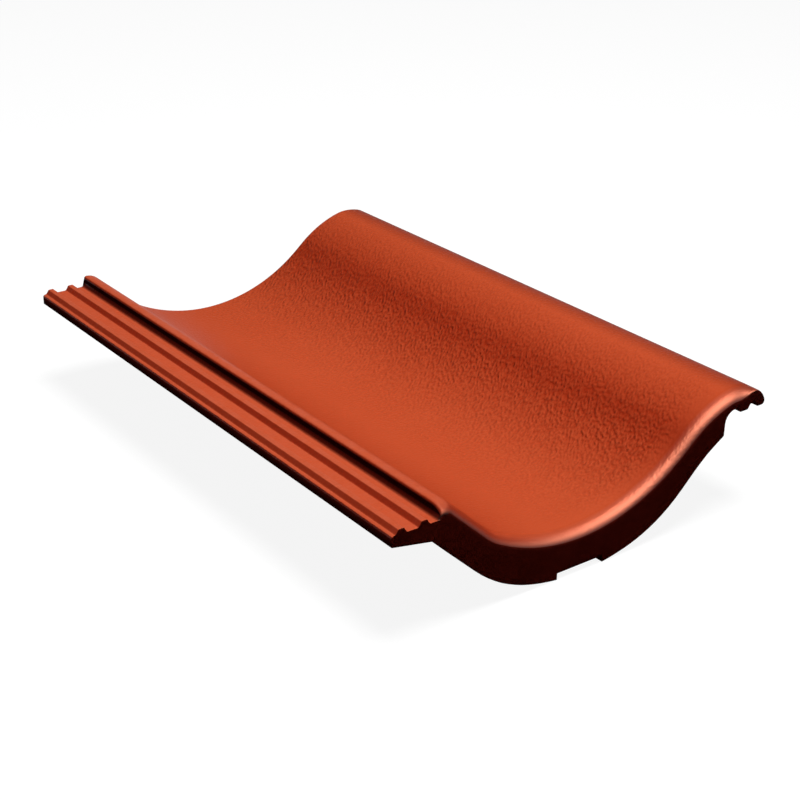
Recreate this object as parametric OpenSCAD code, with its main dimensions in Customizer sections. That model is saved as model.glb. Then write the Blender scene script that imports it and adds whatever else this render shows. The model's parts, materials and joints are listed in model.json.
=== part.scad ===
// Interlocking concrete roof tile, cast in one piece: a broad pan, a roll on its right, and a
// water-channel joint along each side. X runs across the tile, Y from the nose to the head, Z up.

/* [Tile] */
// Length from the nose (lower end) to the head (upper end)
tile_l = 420; // [360:5:480]
// Width that one laid tile covers, from joint to joint
cover_w = 254; // [252:1:257]
// Thickness of the body
body_t = 12; // [11:0.5:13]

/* [Pan and roll] */
// Distance of the lowest line of the pan from the left edge
pan_x = 134; // [132:0.5:136]
// Depth of the lowest line of the pan below the foot of the left edge
pan_drop = 32.3; // [31:0.1:34]
// Height of the top of the roll above the lowest line of the pan
wave_h = 54.3; // [53:0.1:56]
// Radius of the floor of the pan
pan_r = 124; // [120:1:128]
// Radius of the pan's left haunch, where it turns up to the side joint
haunch_r = 47; // [35:1:60]
// Slope of the pan's left side, in degrees
side_a = 42.5; // [41:0.5:44]
// Slope of the roll's side, in degrees
roll_a = 41; // [39:0.5:42]
// Radius over the top of the roll
crest_r = 32; // [30:0.5:34]

/* [Nose] */
// Length of the thick nose
nose_l = 24; // [16:1:40]
// Thickness of the nose under the pan
nose_t = 30.4; // [28:0.2:32]
// Radius of the nose's rounded upper edge
nose_edge_r = 9; // [6:0.5:9]
// Width of the notch in the bottom of the nose
notch_w = 35.5; // [20:0.5:50]
// Height of the notch in the bottom of the nose
notch_h = 5.4; // [3:0.2:8]

/* [Side joint] */
// Height of the outer lip of the left flange
lip_h = 6.8; // [6.6:0.1:7.4]
// Height of the rounded bead between the flange and the pan
bead_h = 14.2; // [14:0.1:15]
// Height of the ribs above the channels
rib_h = 3.3; // [2.8:0.1:3.5]
// Play between the ribs of one tile and the channels of the next
joint_play = 0.4; // [0.3:0.1:0.6]

/* [Nibs] */
// Distance of the nibs' hooking face from the head
nib_back = 24; // [20:1:60]
// Width of each nib at its root
nib_w = 32; // [24:1:40]
// Length of each nib along the tile
nib_l = 15; // [10:1:16]
// Distance between the middles of the two nibs
nib_gap = 64; // [60:1:70]

/* [Weather bar] */
// Distance of the bar from the nose
bar_y = 46; // [44:1:80]
// Length of the bar along the tile
bar_l = 10; // [6:1:16]
// Height of the bar below the body
bar_h = 6; // [4:0.5:8]

/* [Hidden] */

tile_colour = [0.74, 0.27, 0.15];

// Steps of the curves: the longest side of a round stretch, and the sides of a corner
arc_step = 4;
corner_n = 2;
cove_n = 4;
shoulder_n = 6;
nose_edge_n = 8;

// Pan, with its floor about pan_c and its left haunch about haunch_c
haunch_a = 27;
pan_c = [pan_x, pan_r - pan_drop];
haunch_c = pan_c + (pan_r - haunch_r) * dir(270 - haunch_a);

// Roll: the top is an arc about crest_c, and the side an arc about roll_c. The side's radius and the
// straight stretch below it follow from the two ways that the surface has to travel, across and up.
crest_a = 16;
crest_c = [cover_w + 8.5, wave_h - pan_drop - crest_r];
way = crest_c + crest_r * dir(90 + crest_a) - (pan_c + pan_r * dir(270 + roll_a));
turn = dir(90 + crest_a) - dir(90 + roll_a);
roll_r = cross(dir(roll_a), way) / cross(dir(roll_a), turn);
roll_c = crest_c - (roll_r - crest_r) * dir(90 + crest_a);

// Right of the top, three arcs that run on from each other: a flat one, the fall and the outer edge
flat_r = 45;
flat_a = 75;
flat_c = crest_c + (crest_r - flat_r) * dir(90);
fall_r = 18;
fall_a = 28;
fall_c = flat_c + (flat_r - fall_r) * dir(flat_a);
edge_r = 6;
edge_c = fall_c + (fall_r - edge_r) * dir(fall_a);
tile_w = edge_c[0] + edge_r;

// Share of the nose's rounding that is kept: bead_share of it up to the first of rise_x, the whole from
// the second on, and none from the second of fade_x on
bead_share = 0.6;
rise_x = [40, 165];
fade_x = [crest_c[0] + 1.5, crest_c[0] + 18.5];

// Left flange: its wall, its ribs, its sloping foot and the radii of its corners
flange_w = 32.4;
channel_z = 6.5;
rib_z = channel_z + rib_h;
rib_x = [6.3, 21.5];
rib_top = 1.8;
rib_foot = 3.8;
foot = [27.4, -5.2];
lip_r = 1.5;
rib_top_r = 1;
rib_foot_r = 1.6;
cove_r = 3;
wall_r = 2;

// Bead: its arc is tangent to the pan's side
bead_r = 12;
side_end = haunch_c + haunch_r * dir(270 - side_a);
bead_z = bead_h - bead_r;
bead_c = [side_end[0] - (bead_r + (bead_z - side_end[1]) * cos(side_a)) / sin(side_a), bead_z];

// Arcs of the upper surface from left to right, each as its centre, its radius, its first and last
// angle, its number of sides, and 1 where it bulges or -1 where it is hollow
bead = [bead_c, bead_r, 90, 90 - side_a, 5, 1];
haunch = [haunch_c, haunch_r, 270 - side_a, 270 - haunch_a, steps(haunch_r, side_a - haunch_a), -1];
pan = [pan_c, pan_r, 270 - haunch_a, 270 + roll_a, steps(pan_r, haunch_a + roll_a), -1];
roll = [roll_c, roll_r, 90 + roll_a, 90 + crest_a, steps(roll_r, roll_a - crest_a), 1];
crest = [crest_c, crest_r, 90 + crest_a, 90, steps(crest_r, crest_a), 1];
flat = [flat_c, flat_r, 90, flat_a, 4, 1];
fall = [fall_c, fall_r, flat_a, fall_a, 5, 1];
edge = [edge_c, edge_r, fall_a, 0, 3, 1];

// Right overlock: grooves over the next tile's ribs, ribs over its channels, and the shoulder
groove_z = rib_z + joint_play;
lock_z = channel_z + joint_play;
lock_edge_r = 2.3;
shoulder_x = cover_w - 2;
shoulder_r = 8;
nose_shoulder_z = -5.9;
body_shoulder_z = 0;

// Underside of the nose: floor and haunches, then a slope up to the shoulder
under_x = pan_x + 3.75;
under_r = 147;
under_a = 15;
under_haunch_r = 97;
under_slope = 44.6;
shoulder_slope = 31;
under_roll_r = 91;
under_c = [under_x, under_r - pan_drop - nose_t];
under_right = under_c + (under_r - under_haunch_r) * dir(270 + under_a);
under_left = under_c + (under_r - under_haunch_r) * dir(270 - under_a);

// Level that the feet beside the notch and the tips of the nibs stand on
rest_z = under_c[1] - sqrt(pow(under_r, 2) - pow(notch_w / 2, 2));
nib_draft = 3;

// Slope of the faces across the underside, over their length along the tile
draft = 2;

function dir(a) = [cos(a), sin(a)];
function unit(v) = v / norm(v);
function reversed(list) = [for (i = [len(list) - 1 : -1 : 0]) list[i]];
function steps(r, a) = max(3, ceil(abs(a) * r * PI / 180 / arc_step));

// Arc about c from angle a0 to a1, in n steps
function arc(c, r, a0, a1, n) = [for (i = [0 : n]) c + r * dir(a0 + (a1 - a0) * i / n)];

// Where the line through p at angle a crosses the line through q at angle b
function crossing(p, a, q, b) = p + dir(a) * cross(q - p, dir(b)) / cross(dir(a), dir(b));

// Corner at q between p and s, rounded to a radius of r in n sides
function corner(p, q, s, r, n) =
    let (u = unit(p - q),
         v = unit(s - q),
         half = acos(u * v) / 2,
         c = q + unit(u + v) * r / sin(half),
         a = q + u * r / tan(half) - c,
         b = q + v * r / tan(half) - c,
         sweep = 180 - 2 * half)
    [for (i = [0 : n])
        c + (a * sin(sweep * (1 - i / n)) + b * sin(sweep * i / n)) / sin(sweep)];

// Line through a list of [x, z, radius, sides], rounded at each corner but the two ends. The sides can
// be left out.
function rounded(list) = [
    for (i = [1 : len(list) - 2])
        each corner([list[i - 1][0], list[i - 1][1]], [list[i][0], list[i][1]],
                    [list[i + 1][0], list[i + 1][1]], list[i][2],
                    len(list[i]) > 3 ? list[i][3] : corner_n)];

// The four corners of a rib or groove about x
function ridge(x, z_before, z_top, z_after, top, foot, top_r, foot_r) = [
    [x - foot, z_before, foot_r], [x - top, z_top, top_r],
    [x + top, z_top, top_r], [x + foot, z_after, foot_r]];

// Rise from 0 to 1 as x goes from the first to the second of ends
function rise(x, ends) =
    let (t = min(1, max(0, (x - ends[0]) / (ends[1] - ends[0]))))
    t * t * (3 - 2 * t);
function kept(x) = bead_share + (1 - bead_share) * rise(x, rise_x) - rise(x, fade_x);

// Points of the arcs, d below the surface, or as far below it as the nose's rounding is kept
function below(arcs, d, at_nose = false) =
    let (points = [for (s = arcs) for (i = [0 : s[4]])
             let (u = dir(s[2] + (s[3] - s[2]) * i / s[4]),
                  k = at_nose ? kept(s[0][0] + s[1] * u[0]) : 1)
             s[0] + (s[1] - s[5] * d * k) * u])
    [for (i = [0 : len(points) - 1]) if (i == 0 || norm(points[i] - points[i - 1]) > 0.01) points[i]];

// Upper outline of the section, from the foot of the lip to the outer edge, where the nose's rounding
// has come down by d
function upper(d) =
    let (wall_top = bead_h - wall_r - d * kept(flange_w))
    concat(
        rounded(concat(
            [[foot[0], foot[1]], [0, 0, 0.5], [0, lip_h, lip_r]],
            ridge(rib_x[0], lip_h, rib_z, channel_z, rib_top, rib_foot, rib_top_r, rib_foot_r),
            ridge(rib_x[1], channel_z, rib_z, channel_z, rib_top, rib_foot, rib_top_r, rib_foot_r),
            [[flange_w, channel_z, min(cove_r, wall_top - channel_z), cove_n], [flange_w, bead_h]])),
        arc([flange_w + wall_r, wall_top], wall_r, 180, 90, cove_n),
        below([bead, haunch, pan, roll, crest, flat, fall, edge], d, at_nose = true));

// Underside of the overlock, from the outer edge to a shoulder that reaches down to z
function overlock(z, next) =
    let (top = rib_top + joint_play, foot = rib_foot + joint_play, x = cover_w + rib_x[0])
    rounded(concat(
        [[tile_w, edge_c[1]], [tile_w, lock_z, lock_edge_r, cove_n]],
        reversed(ridge(cover_w + rib_x[1], lock_z, groove_z, lock_z, top, foot, 1, 1)),
        [[x + foot, lock_z, 1], [x + top, groove_z, 1],
         [shoulder_x, groove_z, shoulder_r, shoulder_n], [shoulder_x, z, 1], next]));

// Underside of the nose, as points from the left edge to the shoulder
nose_under =
    let (right_end = under_right + under_haunch_r * dir(270 + under_slope),
         bend = crossing(right_end, under_slope, [shoulder_x, nose_shoulder_z], shoulder_slope),
         to_foot = foot - under_left,
         left_a = atan2(to_foot[1], to_foot[0]) + 360 + acos(under_haunch_r / norm(to_foot)))
    concat(
        [[0, 0], foot],
        arc(under_left, under_haunch_r, left_a, 270 - under_a, 6),
        arc(under_c, under_r, 270 - under_a, 270 + under_a, 16),
        arc(under_right, under_haunch_r, 270 + under_a, 270 + under_slope, 10),
        corner(right_end, bend, [shoulder_x, nose_shoulder_z], under_roll_r, corner_n),
        [[shoulder_x, nose_shoulder_z]]);

// Underside of the body where it is t thick, as points from the left edge to the shoulder
function body_under(t) =
    let (under = [
             for (p = below([haunch, pan, roll], t)) if (p[0] < pan_x || p[1] < body_shoulder_z) p],
         under_foot = crossing(under[0], 180 - side_a, [0, 0], atan2(foot[1], foot[0])))
    concat([[0, 0], foot, under_foot], under,
           [under[len(under) - 1] + [1, 0], [shoulder_x, body_shoulder_z]]);

// Section whose upper outline is lowered by d, over an underside that ends at the shoulder
function section(d, under) =
    let (n = 44,
         x0 = shoulder_x - 3,
         underside = [for (i = [0 : n])
             let (x = x0 + (foot[0] - x0) * i / n)
             [x, lookup(x, under)]],
         below_flange = [for (k = [4 : -1 : 1]) foot * k / 5])
    concat(upper(d), overlock(under[len(under) - 1][1], underside[0]), underside, below_flange);

// Triangles that close an end, from its left edge to its right: i goes along the upper outline of the
// section and j along the lower one
function end_face(s, i, j) =
    j < i + 2 ? []
    : s[i + 1][0] < s[j - 1][0] ? concat([[i, i + 1, j]], end_face(s, i + 1, j))
    : concat([[i, j - 1, j]], end_face(s, i, j - 1));

// Stations along the tile, as [y, section]: the rounded edge of the nose, its back, the bar behind it
// and the head
stations = concat(
    [for (k = [0 : nose_edge_n])
        let (a = 90 * k / nose_edge_n)
        [nose_edge_r * (1 - cos(a)), section(nose_edge_r * (1 - sin(a)), nose_under)]],
    [[nose_l, section(0, nose_under)],
     [nose_l + draft, section(0, body_under(body_t))],
     [bar_y, section(0, body_under(body_t))],
     [bar_y + draft, section(0, body_under(body_t + bar_h))],
     [bar_y + bar_l - draft, section(0, body_under(body_t + bar_h))],
     [bar_y + bar_l, section(0, body_under(body_t))],
     [tile_l, section(0, body_under(body_t))]]);

// Shell of the tile, lofted through the stations
module shell() {
    rings = [for (s = stations) [for (p = s[1]) [p[0], s[0], p[1]]]];
    n = len(rings[0]);
    last = len(rings) - 1;
    sides = [for (k = [0 : last - 1]) for (i = [0 : n - 1])
        let (a = k * n + i, b = k * n + (i + 1) % n)
        each [[a, a + n, b + n], [a, b + n, b]]];
    nose_face = end_face(stations[0][1], 0, n - 1);
    head_face = [for (t = end_face(stations[last][1], 0, n - 1)) [for (i = reversed(t)) last * n + i]];
    polyhedron(points = [for (ring = rings) each ring], faces = concat(nose_face, sides, head_face));
}

// Notch between the two feet of the nose
module notch() {
    translate([under_x - notch_w / 2, -1, under_c[1] - under_r - 1])
        cube([notch_w, nose_l + draft + 2, notch_h + 1]);
}

// Extrudes a section, drawn in X and Z, from y0 to y1
module along(y0, y1) {
    translate([0, y1, 0]) rotate([90, 0, 0]) linear_extrude(height = y1 - y0) children();
}

// Nib, hanging from the pan and the foot of the roll
module nib(x) {
    nib_y = tile_l - nib_back;
    along(nib_y, nib_y + nib_l) intersection() {
        polygon([[x - nib_w / 2, pan_c[1]], [x - nib_w / 2 + nib_draft, rest_z],
                 [x + nib_w / 2 - nib_draft, rest_z], [x + nib_w / 2, pan_c[1]]]);
        polygon(concat(below([haunch, pan, roll], body_t / 2),
                       [[shoulder_x, rest_z - 1], [0, rest_z - 1]]));
    }
}

module roof_tile() {
    color(tile_colour) translate([-tile_w / 2, -tile_l / 2, -rest_z]) {
        difference() {
            shell();
            notch();
        }
        for (side = [-1, 1]) nib(under_x + side * nib_gap / 2);
    }
}

roof_tile();
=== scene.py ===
import json
import math

import bmesh
import bpy
from mathutils import Matrix, Vector

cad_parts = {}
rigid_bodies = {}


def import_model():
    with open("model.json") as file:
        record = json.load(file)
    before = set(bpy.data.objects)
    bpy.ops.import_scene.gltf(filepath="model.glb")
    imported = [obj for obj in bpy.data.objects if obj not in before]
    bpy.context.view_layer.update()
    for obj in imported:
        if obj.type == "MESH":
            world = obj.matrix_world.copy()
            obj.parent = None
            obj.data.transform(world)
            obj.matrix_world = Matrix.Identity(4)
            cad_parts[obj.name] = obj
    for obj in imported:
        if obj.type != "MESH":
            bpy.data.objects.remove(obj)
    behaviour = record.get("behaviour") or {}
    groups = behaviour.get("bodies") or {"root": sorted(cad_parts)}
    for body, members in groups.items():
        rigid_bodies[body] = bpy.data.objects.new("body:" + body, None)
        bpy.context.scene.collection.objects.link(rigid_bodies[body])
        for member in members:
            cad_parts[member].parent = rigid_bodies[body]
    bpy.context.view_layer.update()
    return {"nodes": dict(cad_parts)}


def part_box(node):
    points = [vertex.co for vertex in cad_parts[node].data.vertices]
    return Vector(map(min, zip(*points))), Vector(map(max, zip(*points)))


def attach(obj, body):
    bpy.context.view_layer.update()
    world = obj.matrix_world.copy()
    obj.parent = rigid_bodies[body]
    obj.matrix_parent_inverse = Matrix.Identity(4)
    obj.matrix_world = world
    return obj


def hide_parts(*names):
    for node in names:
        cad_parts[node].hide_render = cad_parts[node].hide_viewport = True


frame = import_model()
scene_objects = bpy.context.scene.collection.objects

# ---------------------------------------------------------------------------------------------------
# The tile. The real one is a single piece of fine concrete, pressed and cut to length while wet, then
# sprayed from above with a terracotta red, satin coating. It is made from the frame's own solid, whose
# arrises are eased, and whose faces are cut into a fine net.

ALONG = Vector((0, 1, 0))
ACROSS = Vector((1, 0, 0))
UPWARD = Vector((0, 0, 1))
MERGE = 1e-6
FLAT = math.radians(0.2)
ARRIS = math.radians(28)
ARRIS_ROUND = 0.0007
NET = 0.002
CLEAR_OF_PLANE = 1e-7
END_FACING = 0.99
WIDE = 0.003
WEATHER_FACING = 0.3

low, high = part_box("roof_tile")


def cut_evenly(shape, axis, start, stop, belongs):
    """Cuts the faces that belong with planes across an axis, a net's width apart."""
    planes = round((stop - start) / NET)
    for k in range(1, planes):
        place = start + (stop - start) * k / planes
        faces = [f for f in shape.faces if belongs(f)]
        parts = dict.fromkeys(part for f in faces for part in (f, *f.edges, *f.verts))
        bmesh.ops.bisect_plane(shape, geom=list(parts), dist=CLEAR_OF_PLANE, plane_co=axis * place,
                               plane_no=axis)


def at_end(face):
    """Whether a face is on the flat end of the nose or of the head."""
    return abs(face.normal.y) > END_FACING


cast = bmesh.new()
cast.from_mesh(frame["nodes"]["roof_tile"].data)
bmesh.ops.remove_doubles(cast, verts=cast.verts, dist=MERGE)
bmesh.ops.dissolve_limit(cast, angle_limit=FLAT, verts=cast.verts, edges=cast.edges)
arrises = [e for e in cast.edges if e.is_manifold and e.calc_face_angle() > ARRIS]
bmesh.ops.bevel(cast, geom=arrises, offset=ARRIS_ROUND, affect="EDGES", segments=2, profile=0.5,
                material=-1, clamp_overlap=True)
cut_evenly(cast, ACROSS, low.x, high.x, at_end)
cut_evenly(cast, UPWARD, low.z, high.z, at_end)
cut_evenly(cast, ALONG, low.y, high.y, lambda f: not at_end(f))

# weather side: the wide strips of the pan and the roll are halved
wide = [e for e in cast.edges if e.calc_length() > WIDE and abs((e.verts[0].co - e.verts[1].co).y) < MERGE
        and all(f.normal.z > WEATHER_FACING for f in e.link_faces)]
bmesh.ops.subdivide_edges(cast, edges=wide, cuts=1, use_grid_fill=True)

tile_mesh = bpy.data.meshes.new("roof_tile")
cast.to_mesh(tile_mesh)
cast.free()
tile = bpy.data.objects.new("tile", tile_mesh)
scene_objects.link(tile)
tile_mesh.shade_smooth()
tile_mesh.set_sharp_from_angle(angle=ARRIS)


def add(tree, kind, **settings):
    """Adds a node. A setting's name is an attribute of the node, or the name of one of its inputs."""
    made = tree.nodes.new("ShaderNode" + kind)
    for name, value in settings.items():
        if hasattr(made, name):
            setattr(made, name, value)
        else:
            made.inputs[name.replace("_", " ")].default_value = value
    return made


def link(tree, *pairs):
    """Links each output to the input that follows it."""
    for source, target in zip(pairs[::2], pairs[1::2]):
        tree.links.new(source, target)


def times(tree, first, *others):
    """The product of two or more values."""
    for other in others:
        made = add(tree, "Math", operation="MULTIPLY")
        link(tree, first, made.inputs[0], other, made.inputs[1])
        first = made.outputs[0]
    return first


def mapped(tree, value, start, stop, at_start, at_stop):
    """What a range gives for a value: at_start up to its start, at_stop from its stop, and between them
    an even change."""
    made = add(tree, "MapRange", From_Min=start, From_Max=stop, To_Min=at_start, To_Max=at_stop)
    link(tree, value, made.inputs["Value"])
    return made.outputs["Result"]


def mixed(tree, share, first, second):
    """The first colour, with a share of the second. Either is a colour or another node's output."""
    made = add(tree, "Mix", data_type="RGBA")
    link(tree, share, made.inputs["Factor"])
    for colour, target in ((first, made.inputs[6]), (second, made.inputs[7])):
        if isinstance(colour, tuple):
            target.default_value = colour
        else:
            link(tree, colour, target)
    return made.outputs[2]


def noise(tree, where, **settings):
    """A noise over the places given, from 0 to 1."""
    made = add(tree, "TexNoise", **settings)
    link(tree, where, made.inputs["Vector"])
    return made.outputs["Fac"]


def bump(tree, rise, height, under=None):
    """The normal of a relief of a height, laid over the normal of another relief where one is given."""
    made = add(tree, "Bump", Strength=1, Distance=height)
    link(tree, rise, made.inputs["Height"])
    if under is not None:
        link(tree, under, made.inputs["Normal"])
    return made.outputs["Normal"]


def axes(tree, vector):
    """The X, Y and Z of a vector."""
    made = add(tree, "SeparateXYZ")
    link(tree, vector, made.inputs[0])
    return made.outputs


def new_finish(name, specular):
    """A material with a specular level, its node tree and its shader."""
    finish = bpy.data.materials.new(name)
    finish.use_nodes = True
    shader = finish.node_tree.nodes["Principled BSDF"]
    shader.inputs["Specular IOR Level"].default_value = specular
    return finish, finish.node_tree, shader


# coating: satin, over the pebbly, leather-like skin of the pressed concrete. Each range in capitals
# holds where it starts and stops, and what it gives at its start and at its stop.
coating, tree, skin = new_finish("coating", 0.06)
place = add(tree, "TexCoord")
position = place.outputs["Object"]
spot = axes(tree, position)
facing = axes(tree, place.outputs["Normal"])

# relief: pebbles, drawn out askew, with a fine sand over them. The pebbles are highest on the roll, and
# worn down at the nose's edge.
PEBBLE_TURN = math.radians(30)
PEBBLE_DRAWN = (1.6, 1, 1.6)
PEBBLE_HEIGHT = 0.0020
SAND_HEIGHT = 0.00006
PAN_TO_ROLL = (-0.03, 0.06, 0.1, 1)
ROLL_TO_EDGE = (0.06, 0.13, 1, 0.12)
NOSE_TO_BODY = (low.y + 0.006, low.y + 0.02, 0.12, 1)
drawn = add(tree, "Mapping", vector_type="TEXTURE", Rotation=(0, 0, PEBBLE_TURN), Scale=PEBBLE_DRAWN)
link(tree, position, drawn.inputs["Vector"])
pebbles = noise(tree, drawn.outputs["Vector"], Scale=590, Detail=0)
sand = noise(tree, position, Scale=1500, Detail=2, Roughness=0.6)
on_roll = times(tree, mapped(tree, spot["X"], *PAN_TO_ROLL), mapped(tree, spot["X"], *ROLL_TO_EDGE),
                mapped(tree, spot["Y"], *NOSE_TO_BODY))
relief = bump(tree, sand, SAND_HEIGHT, bump(tree, times(tree, pebbles, on_roll), PEBBLE_HEIGHT))
link(tree, relief, skin.inputs["Normal"])

# colour: cloudy from the spray, with painted shade, a deeper red, between the pebbles and on the slopes
COATING = (0.555, 0.080, 0.026, 1)
COATING_THIN = (0.585, 0.090, 0.031, 1)
COATING_SHADED = (0.345, 0.026, 0.006, 1)
CLOUDS_THIN = (0.4, 0.7, 0, 0.5)
CLOUDS_ROUGH = (0.3, 0.7, 0.40, 0.46)
GAPS_SHADED = (0.65, 0.35, 0, 0.3)
SLOPES_SHADED = (0.70, 0.99, 0.85, 0)
clouds = noise(tree, position, Scale=14, Detail=3)
shade_share = add(tree, "Math", operation="MULTIPLY_ADD")
link(tree, mapped(tree, pebbles, *GAPS_SHADED), shade_share.inputs[0], on_roll, shade_share.inputs[1],
     mapped(tree, facing["Z"], *SLOPES_SHADED), shade_share.inputs[2],
     mapped(tree, clouds, *CLOUDS_ROUGH), skin.inputs["Roughness"])
cloudy = mixed(tree, mapped(tree, clouds, *CLOUDS_THIN), COATING, COATING_THIN)
sprayed_and_shaded = mixed(tree, shade_share.outputs[0], cloudy, COATING_SHADED)

# wear: the flange, which other tiles slide over, is rubbed paler, most on its ribs and bead
RUBBED = (0.56, 0.108, 0.052, 1)
RUBS = (0.35, 0.65, 0.55, 1.2)
CHANNEL_TO_RIB = (0.0685, 0.0713, 0.35, 0.6)
SLOPE_TO_LEVEL = (0.6, 0.9, 0, 1)
PAN_TO_FLANGE = (-0.098, -0.104, 0, 1)
rubbed = times(tree, mapped(tree, noise(tree, position, Scale=150, Detail=2), *RUBS),
               mapped(tree, spot["Z"], *CHANNEL_TO_RIB), mapped(tree, facing["Z"], *SLOPE_TO_LEVEL),
               mapped(tree, spot["X"], *PAN_TO_FLANGE))
# the rubbed wear is laid over the coating with its painted shade
worn_and_shaded = mixed(tree, rubbed, sprayed_and_shaded, RUBBED)

# painted shade: the colour turns from the coating's to the darker concrete's where the tile is steep and
# at the outer edge of the roll, and to a near black in the corner at the foot of the bead, where the
# bead's shadow falls. The concrete shows there, and is darkest in the corner.
CONCRETE = (0.135, 0.011, 0.006, 1)
SHADE_NEAR_BLACK = (0.020, 0.001, 0.001, 1)
STEEP_TO_LEVEL = (0.15, 0.82, 0, 1)
OUTER_EDGE_SHADED = (0.112, 0.132, 1, 0.3)
BEAD_FOOT = Vector((-0.1106, 0, 0.0681))
SHADED_CORNER_TO_COATING = (0.001, 0.0028, 0, 1)
SHADED_CORNER_TO_CONCRETE = (0.006, 0.01, 0, 1)
section = add(tree, "VectorMath", operation="MULTIPLY")
section.inputs[1].default_value = ACROSS + UPWARD
from_corner = add(tree, "VectorMath", operation="DISTANCE")
from_corner.inputs[1].default_value = BEAD_FOOT
link(tree, position, section.inputs[0], section.outputs[0], from_corner.inputs[0])
distance = from_corner.outputs["Value"]
unshaded_share = times(tree, mapped(tree, facing["Z"], *STEEP_TO_LEVEL), mapped(tree, spot["X"], *OUTER_EDGE_SHADED),
                mapped(tree, distance, *SHADED_CORNER_TO_COATING))
concrete_and_corner_shade = mixed(tree, mapped(tree, distance, *SHADED_CORNER_TO_CONCRETE), SHADE_NEAR_BLACK, CONCRETE)
link(tree, mixed(tree, unshaded_share, concrete_and_corner_shade, worn_and_shaded), skin.inputs["Base Color"])

# nose: the spray gathers along its edge, where it dries to a glossier coat
GATHERED_ROUGH = 0.46
GATHERED_IOR = 1.7
EDGE_TO_BODY = (low.y + 0.004, low.y + 0.007, 1, 0)
FACE_TO_EDGE = (0.1, 0.5, 0, 1)
FLANGE_TO_ROLL = (-0.075, -0.03, 0.35, 1)
skin.inputs["Coat Roughness"].default_value = GATHERED_ROUGH
skin.inputs["Coat IOR"].default_value = GATHERED_IOR
gathered = times(tree, mapped(tree, spot["Y"], *EDGE_TO_BODY), mapped(tree, facing["Z"], *FACE_TO_EDGE),
                 mapped(tree, spot["X"], *FLANGE_TO_ROLL))
link(tree, gathered, skin.inputs["Coat Weight"], relief, skin.inputs["Coat Normal"])

# bare concrete: the sides, ends and underside, which the spray doesn't reach, stay matt and grainy
CONCRETE_PALE = (0.150, 0.014, 0.007, 1)
CONCRETE_DARK = (0.095, 0.007, 0.0035, 1)
GRAIN_HEIGHT = 0.00012
GRAIN_ROUGH = (0.3, 0.7, 0.85, 1)
GRAIN_PALE = (0.5, 0.75, 0, 1)
PATCHES_DARK = (0.55, 0.3, 0, 0.8)


def new_concrete(name):
    """A material of matt concrete, its node tree and its shader, with its places and its grain."""
    finish, tree, shader = new_finish(name, 0)
    position = add(tree, "TexCoord").outputs["Object"]
    grain = noise(tree, position, Scale=900, Detail=3, Roughness=0.6)
    link(tree, bump(tree, grain, GRAIN_HEIGHT), shader.inputs["Normal"],
         mapped(tree, grain, *GRAIN_ROUGH), shader.inputs["Roughness"])
    return finish, tree, shader, position, grain


bare, tree, raw, position, grain = new_concrete("bare_concrete")
grainy = mixed(tree, mapped(tree, grain, *GRAIN_PALE), CONCRETE, CONCRETE_PALE)
patches = mapped(tree, noise(tree, position, Scale=45, Detail=3), *PATCHES_DARK)
link(tree, mixed(tree, patches, grainy, CONCRETE_DARK), raw.inputs["Base Color"])

# shaded wall: the wall of the bead is the same matt concrete, painted a near black shade
shaded_wall, _, shaded_wall_skin, *_ = new_concrete("shaded_wall")
shaded_wall_skin.inputs["Base Color"].default_value = SHADE_NEAR_BLACK

WALL_NEAR = 0.002
WALL_BELOW = 0.001
WALL_FACING = 0.5
# the faces of the bead's wall take the third material, the one with the painted shade
for finish in (coating, bare, shaded_wall):
    tile_mesh.materials.append(finish)
for face in tile_mesh.polygons:
    on_wall = (abs(face.center.x - BEAD_FOOT.x) < WALL_NEAR and face.center.z > BEAD_FOOT.z - WALL_BELOW
               and abs(face.normal.y) < WALL_FACING)
    if face.normal.z > STEEP_TO_LEVEL[0]:
        face.material_index = 0
    elif on_wall:
        face.material_index = 2
    else:
        face.material_index = 1
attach(tile, "root")
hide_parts("roof_tile")

# ---------------------------------------------------------------------------------------------------
# The floor: a wide sheet of paper just under the tile's feet. It is white to the camera, apart from the
# tile's soft shadow, and dim to the light that falls back on the tile.

FLOOR_HALF = 12
FLOOR_BELOW = 0.0001
PAPER = (0.16, 0.16, 0.16, 1)
PAPER_DIM = (0.04, 0.04, 0.04, 1)
PAPER_GLOW = 0.9
WHITE = (1, 1, 1, 1)

floor_net = bmesh.new()
bmesh.ops.create_grid(floor_net, x_segments=1, y_segments=1, size=FLOOR_HALF)
floor_mesh = bpy.data.meshes.new("floor")
floor_net.to_mesh(floor_mesh)
floor_net.free()
floor = bpy.data.objects.new("floor", floor_mesh)
floor.location.z = low.z - FLOOR_BELOW
scene_objects.link(floor)


def largest(tree, first, *others):
    """The largest of two or more values."""
    for other in others:
        made = add(tree, "Math", operation="MAXIMUM")
        link(tree, first, made.inputs[0], other, made.inputs[1])
        first = made.outputs[0]
    return first


def seen_directly(tree):
    """1 for camera, glossy and transmission rays, and 0 for the rays that light the object."""
    path = add(tree, "LightPath").outputs
    return largest(tree, path["Is Camera Ray"], path["Is Glossy Ray"], path["Is Transmission Ray"])


def choose(tree, share, first, second, output):
    """Links the first shader, or the second by a share, to the tree's output."""
    choice = add(tree, "MixShader")
    link(tree, share, choice.inputs[0], first.outputs[0], choice.inputs[1],
         second.outputs[0], choice.inputs[2], choice.outputs[0], add(tree, output).inputs["Surface"])


paper = bpy.data.materials.new("floor")
paper.use_nodes = True
tree = paper.node_tree
tree.nodes.clear()
dim = add(tree, "BsdfDiffuse", Color=PAPER_DIM)
shadowed = add(tree, "BsdfDiffuse", Color=PAPER)
glow = add(tree, "Emission", Color=WHITE, Strength=PAPER_GLOW)
bright = add(tree, "AddShader")
link(tree, shadowed.outputs[0], bright.inputs[0], glow.outputs[0], bright.inputs[1])
choose(tree, seen_directly(tree), dim, bright, "OutputMaterial")
floor_mesh.materials.append(paper)

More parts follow.
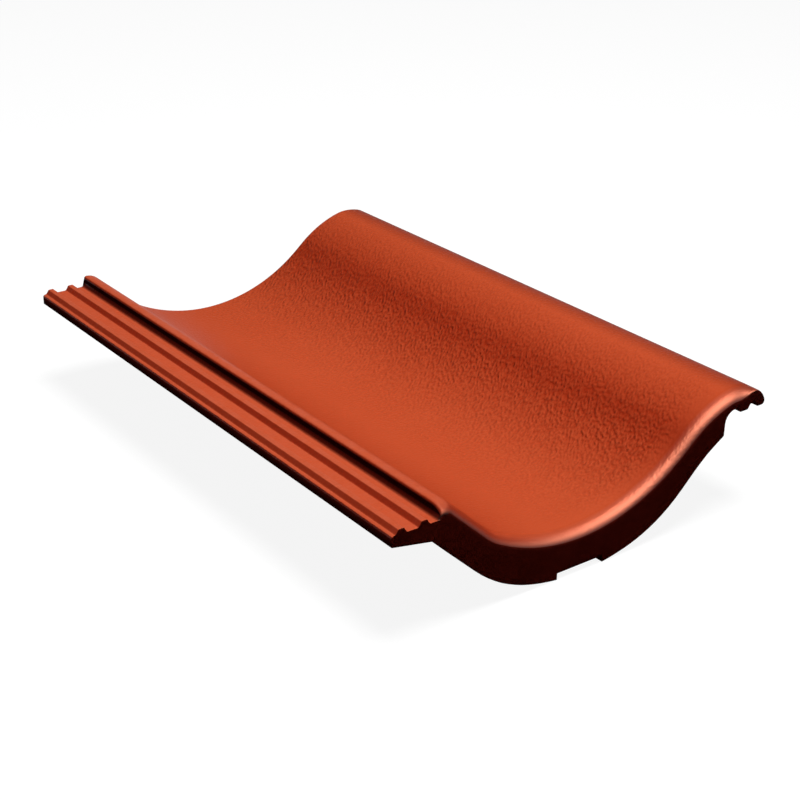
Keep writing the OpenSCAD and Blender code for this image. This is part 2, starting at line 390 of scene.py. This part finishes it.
# ---------------------------------------------------------------------------------------------------
# The light: a broad lamp above the tile, which nothing mirrors, a wide softbox in front, which shows
# only in gloss and most of all on the nose's edge, and a faint grey studio around them.

STUDIO = 0.04
HORIZON_TO_CEILING = (0, 0.05, 1, 0.05)
SOFTBOX_COLOUR = (1, 0.43, 0.26)


def hang_lamp(name, way, away, width, power, colour=(1, 1, 1)):
    """A round lamp of a width and a power, hung some way from the origin and facing it."""
    light = bpy.data.lights.new(name, "AREA")
    light.shape = "DISK"
    light.size = width
    light.energy = power
    light.color = colour
    holder = bpy.data.objects.new(name, light)
    holder.location = Vector(way).normalized() * away
    holder.rotation_euler = Vector(way).to_track_quat("Z", "Y").to_euler()
    scene_objects.link(holder)
    return holder


lamp = hang_lamp("lamp", (0, -0.16, 1), away=2, width=0.9, power=40)
lamp.visible_glossy = False
softbox = hang_lamp("softbox", (0.25, -0.78, 0.57), away=2, width=1.7, power=135, colour=SOFTBOX_COLOUR)
softbox.visible_diffuse = False

# studio: white to the camera. In gloss it is white at the horizon and dim from a little above it.
studio = bpy.data.worlds.new("studio")
bpy.context.scene.world = studio
studio.use_nodes = True
tree = studio.node_tree
tree.nodes.clear()
around = add(tree, "Background", Color=WHITE, Strength=STUDIO)
backdrop = add(tree, "Background", Strength=1)
height = axes(tree, add(tree, "TexCoord").outputs["Generated"])["Z"]
to_camera = add(tree, "LightPath").outputs["Is Camera Ray"]
link(tree, largest(tree, to_camera, mapped(tree, height, *HORIZON_TO_CEILING)), backdrop.inputs["Color"])
choose(tree, seen_directly(tree), around, backdrop, "OutputWorld")

# ---------------------------------------------------------------------------------------------------
# The camera: a plain one with a long lens. It stands in front of the nose and to the left of it, and
# looks down along the tile.

CAMERA_PLACE = (-0.56747, -0.77923, 0.47844)
AZIMUTH = math.radians(-36.970)
ELEVATION = math.radians(25.017)
ROLL = math.radians(0.958)
SENSOR = 36
LENS = 70.72

back = Vector((math.sin(AZIMUTH) * math.cos(ELEVATION), -math.cos(AZIMUTH) * math.cos(ELEVATION),
               math.sin(ELEVATION)))
turn = back.to_track_quat("Z", "Y").to_matrix() @ Matrix.Rotation(ROLL, 3, "Z")
camera_data = bpy.data.cameras.new("camera")
camera_data.sensor_width = SENSOR
camera_data.lens = LENS
camera = bpy.data.objects.new("camera", camera_data)
camera.matrix_world = Matrix.Translation(CAMERA_PLACE) @ turn.to_4x4()
scene_objects.link(camera)
bpy.context.scene.camera = camera
bpy.context.scene.view_settings.view_transform = "Standard"
